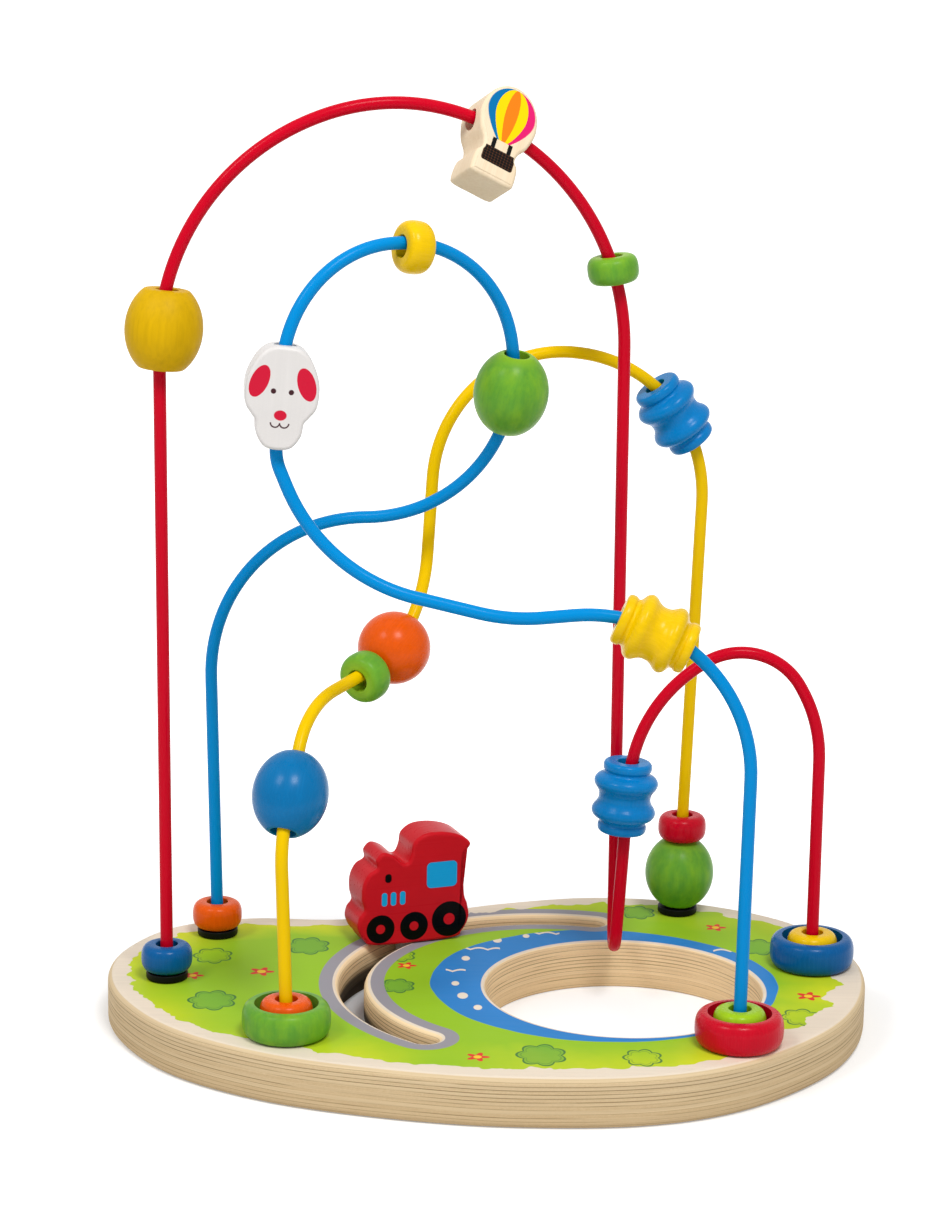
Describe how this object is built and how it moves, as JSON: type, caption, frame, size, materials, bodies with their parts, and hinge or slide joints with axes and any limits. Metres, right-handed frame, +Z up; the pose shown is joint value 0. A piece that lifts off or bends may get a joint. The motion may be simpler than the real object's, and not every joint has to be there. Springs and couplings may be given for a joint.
{
  "type": "bead maze",
  "caption": "Wooden toy: beads and figures slide along bent wires over a plywood board with a round hole, and a train runs in a curved slot.",
  "frame": {"origin": "centre of the bounding box, at the underside of the board that stands on the floor", "axes": "+Z up, +X to the right along the board as the picture shows it, +Y away from the viewer"},
  "size_m": [0.3051, 0.2151, 0.3722],
  "materials": {
    "plywood": "matt",
    "figure_wood": "matt",
    "white_paint": "satin lacquer",
    "red_wire": "plastic-coated steel wire",
    "blue_wire": "plastic-coated steel wire",
    "yellow_wire": "plastic-coated steel wire",
    "black_plastic": "satin",
    "steel": "zinc plated",
    "grey_plastic": "satin",
    "red_lacquer": "gloss lacquer on wood",
    "blue_lacquer": "gloss lacquer on wood",
    "yellow_lacquer": "gloss lacquer on wood",
    "green_lacquer": "gloss lacquer on wood",
    "orange_lacquer": "gloss lacquer on wood"
  },
  "bodies": {
    "maze": {"base_board": "plywood", "red_wire": "red_wire", "blue_wire": "blue_wire", "yellow_wire": "yellow_wire", "blue_left_collar": "black_plastic", "blue_left_nut": "steel", "blue_left_washer": "steel", "blue_right_collar": "black_plastic", "blue_right_nut": "steel", "blue_right_washer": "steel", "red_left_collar": "black_plastic", "red_left_nut": "steel", "red_left_washer": "steel", "red_right_collar": "black_plastic", "red_right_nut": "steel", "red_right_washer": "steel", "yellow_left_collar": "black_plastic", "yellow_left_nut": "steel", "yellow_left_washer": "steel", "yellow_right_collar": "black_plastic", "yellow_right_nut": "steel", "yellow_right_washer": "steel"},
    "blue_ring": {"blue_ring": "blue_lacquer"},
    "yellow_ring_right": {"yellow_ring_right": "yellow_lacquer"},
    "blue_large_ring": {"blue_large_ring": "blue_lacquer"},
    "orange_ring_back": {"orange_ring_back": "orange_lacquer"},
    "green_ring_front": {"green_ring_front": "green_lacquer"},
    "red_large_ring": {"red_large_ring": "red_lacquer"},
    "orange_ring_front": {"orange_ring_front": "orange_lacquer"},
    "green_large_ring": {"green_large_ring": "green_lacquer"},
    "green_oval": {"green_oval": "green_lacquer"},
    "red_ring": {"red_ring": "red_lacquer"},
    "yellow_barrel": {"yellow_barrel": "yellow_lacquer"},
    "balloon_figure": {"balloon_figure": "figure_wood"},
    "green_ring_on_red": {"green_ring_on_red": "green_lacquer"},
    "blue_ribbed_low": {"blue_ribbed_low": "blue_lacquer"},
    "green_egg": {"green_egg": "green_lacquer"},
    "yellow_ring_on_blue": {"yellow_ring_on_blue": "yellow_lacquer"},
    "puppy_figure": {"puppy_figure": "white_paint"},
    "yellow_ribbed": {"yellow_ribbed": "yellow_lacquer"},
    "blue_egg": {"blue_egg": "blue_lacquer"},
    "green_ring_on_yellow": {"green_ring_on_yellow": "green_lacquer"},
    "orange_ball": {"orange_ball": "orange_lacquer"},
    "blue_ribbed_high": {"blue_ribbed_high": "blue_lacquer"},
    "train_carriage": {"train_guide_sleeve": "grey_plastic", "train_retainer_disc": "steel"},
    "train": {"train": "red_lacquer", "train_screw": "steel"}
  },
  "joints": [
    {"name": "blue_ring_slide", "type": "slide", "parent": "maze", "child": "blue_ring", "axis": [-0.0068, 0, 1], "range_m": [0, 0.225]},
    {"name": "yellow_ring_right_slide", "type": "slide", "parent": "maze", "child": "yellow_ring_right", "axis": [-0.0031, 0.0043, 1], "range_m": [0, 0.083]},
    {"name": "blue_large_ring_slide", "type": "slide", "parent": "maze", "child": "blue_large_ring", "axis": [-0.0031, 0.0043, 1], "range_m": [0, 0.1]},
    {"name": "orange_ring_back_slide", "type": "slide", "parent": "maze", "child": "orange_ring_back", "axis": [-0.022, -0.0118, 0.9997], "range_m": [0, 0.109]},
    {"name": "green_ring_front_slide", "type": "slide", "parent": "maze", "child": "green_ring_front", "axis": [0.0117, 0.0356, 0.9993], "range_m": [0, 0.065]},
    {"name": "red_large_ring_slide", "type": "slide", "parent": "maze", "child": "red_large_ring", "axis": [0.0117, 0.0356, 0.9993], "range_m": [0, 0.065]},
    {"name": "orange_ring_front_slide", "type": "slide", "parent": "maze", "child": "orange_ring_front", "axis": [-0.0377, 0.0547, 0.9978], "range_m": [0, 0.056]},
    {"name": "green_large_ring_slide", "type": "slide", "parent": "maze", "child": "green_large_ring", "axis": [-0.0377, 0.0547, 0.9978], "range_m": [0, 0.056]},
    {"name": "green_oval_slide", "type": "slide", "parent": "maze", "child": "green_oval", "axis": [0.0256, -0.0176, 0.9995], "range_m": [0, 0.055]},
    {"name": "red_ring_slide", "type": "slide", "parent": "green_oval", "child": "red_ring", "axis": [0.0256, -0.0176, 0.9995], "range_m": [0, 0.055]},
    {"name": "yellow_barrel_swing", "type": "hinge", "parent": "maze", "child": "yellow_barrel", "pos_m": [-0.0384, 0.01107, 0.27381], "axis": [-0.1737, 0.9848, -0.0012], "range_deg": [-5, 76]},
    {"name": "balloon_figure_swing", "type": "hinge", "parent": "maze", "child": "balloon_figure", "pos_m": [-0.0441, 0.01007, 0.26817], "axis": [-0.3043, 0.9526, -0.0025], "range_deg": [-25, 31]},
    {"name": "green_ring_on_red_swing", "type": "hinge", "parent": "maze", "child": "green_ring_on_red", "pos_m": [-0.0441, 0.01007, 0.26817], "axis": [-0.3043, 0.9526, -0.0025], "range_deg": [-31, 23]},
    {"name": "blue_ribbed_low_slide", "type": "slide", "parent": "maze", "child": "blue_ribbed_low", "axis": [0.0555, 0.0001, 0.9985], "range_m": [-0.044, 0.001]},
    {"name": "green_egg_swing", "type": "hinge", "parent": "maze", "child": "green_egg", "pos_m": [-0.05815, 0.02383, 0.26573], "axis": [-0.2165, -0.966, -0.1415], "range_deg": [-75, 15]},
    {"name": "yellow_ring_on_blue_swing", "type": "hinge", "parent": "maze", "child": "yellow_ring_on_blue", "pos_m": [-0.04154, -0.01597, 0.2637], "axis": [0.4781, -0.8715, -0.1087], "range_deg": [-64, 48]},
    {"name": "puppy_figure_slide", "type": "slide", "parent": "maze", "child": "puppy_figure", "axis": [-0.0721, -0.0395, -0.9966], "range_m": [-0.006, 0.004]},
    {"name": "yellow_ribbed_swing", "type": "hinge", "parent": "maze", "child": "yellow_ribbed", "pos_m": [0.03616, -0.05961, 0.12373], "axis": [0.0802, 0.9961, -0.0365], "range_deg": [-29, 66]},
    {"name": "blue_egg_slide", "type": "slide", "parent": "maze", "child": "blue_egg", "axis": [0.1441, 0.6075, 0.7811], "range_m": [-0.008, 0.002]},
    {"name": "green_ring_on_yellow_slide", "type": "slide", "parent": "maze", "child": "green_ring_on_yellow", "axis": [0.5585, 0.8158, 0.15], "range_m": [-0.027, 0]},
    {"name": "orange_ball_swing", "type": "hinge", "parent": "maze", "child": "orange_ball", "pos_m": [-0.055, 0.0013, 0.19354], "axis": [0.8183, -0.5715, 0.0613], "range_deg": [0, 55]},
    {"name": "blue_ribbed_high_swing", "type": "hinge", "parent": "maze", "child": "blue_ribbed_high", "pos_m": [0.02429, 0.0695, 0.20023], "axis": [-0.2441, 0.9695, 0.0233], "range_deg": [-61, 37]},
    {"name": "train_along_slot", "type": "hinge", "parent": "maze", "child": "train_carriage", "pos_m": [0.02501, -0.00398, 0], "axis": [0, 0, 1], "range_deg": [-58, 91]},
    {"name": "train_swivel", "type": "hinge", "parent": "train_carriage", "child": "train", "pos_m": [-0.0336, 0.04973, 0.0203], "axis": [0, 0, 1], "range_deg": [-180, 180]}
  ]
}
